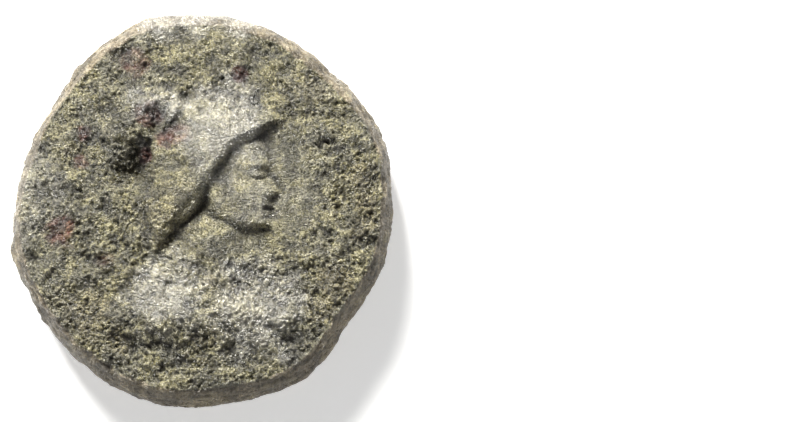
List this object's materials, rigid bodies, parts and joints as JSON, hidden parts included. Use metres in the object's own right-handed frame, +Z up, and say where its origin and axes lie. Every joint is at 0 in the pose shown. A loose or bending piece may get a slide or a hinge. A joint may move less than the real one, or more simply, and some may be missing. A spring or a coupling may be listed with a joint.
{
  "type": "quadrans coin",
  "caption": "Small thick struck bronze coin with an uneven round flan, a helmeted bust in relief on top and a standing owl on its dished underside.",
  "frame": {"origin": "middle of the coin's bounding box, at the level it rests on", "axes": "+Z up through the coin's thickness, out of the bust's side; +Y towards the top of the bust's head; +X the way the bust faces"},
  "size_m": [0.0148, 0.0154, 0.0031],
  "materials": {
    "patinated_bronze": "granular olive-grey and brown patina on bronze, worn smooth and pale on the high relief, with a few red-brown corrosion spots"
  },
  "bodies": {
    "root": {"coin": "patinated_bronze"}
  },
  "joints": []
}
